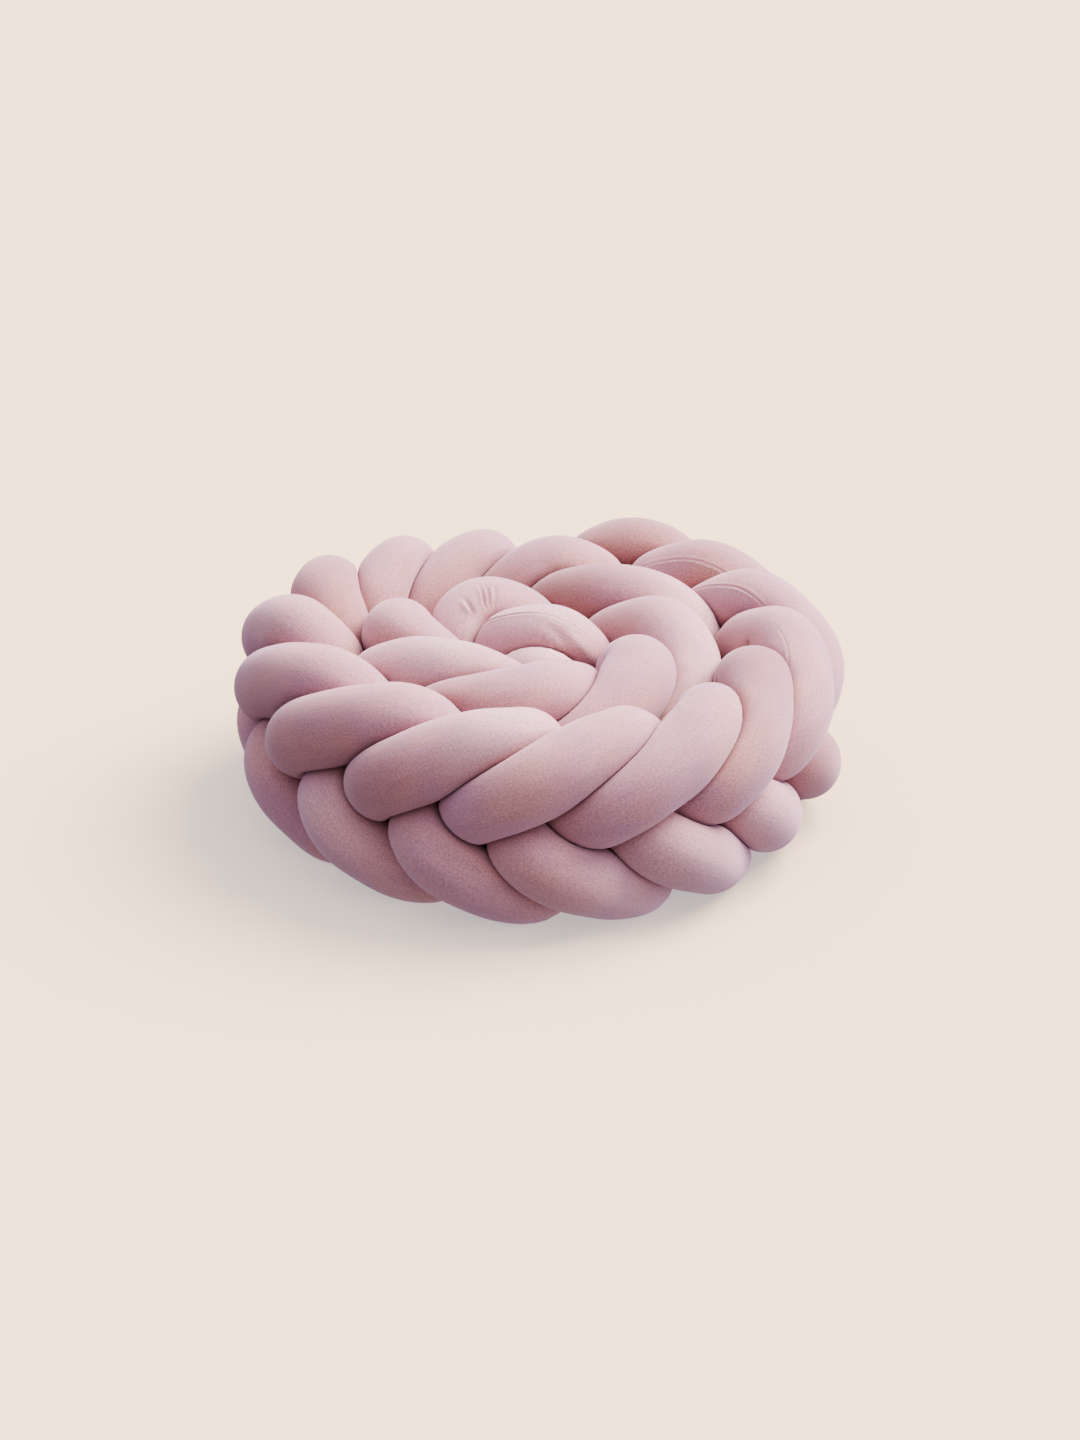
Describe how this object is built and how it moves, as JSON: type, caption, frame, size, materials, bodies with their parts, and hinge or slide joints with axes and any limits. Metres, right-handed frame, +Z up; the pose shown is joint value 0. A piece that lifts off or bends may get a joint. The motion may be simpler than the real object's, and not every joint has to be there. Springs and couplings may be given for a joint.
{
  "type": "rolled braided crib bumper",
  "caption": "Soft crib bumper of stuffed velvet tubes in a plain braid, rolled up into a round coil that stands on the braid's lower edge.",
  "frame": {"origin": "On the floor, under the middle of the coil's outline.", "axes": "+Z is up, the way the coil stands. The picture looks along +Y, and the braid's outer end lies at the back, towards +Y and +X."},
  "size_m": [0.5724, 0.5786, 0.197],
  "materials": {
    "strand_a": "dusty pink short-pile velvet",
    "strand_b": "dusty pink short-pile velvet",
    "strand_c": "dusty pink short-pile velvet"
  },
  "bodies": {
    "root": {"strand_a": "strand_a", "strand_b": "strand_b", "strand_c": "strand_c"}
  },
  "joints": []
}
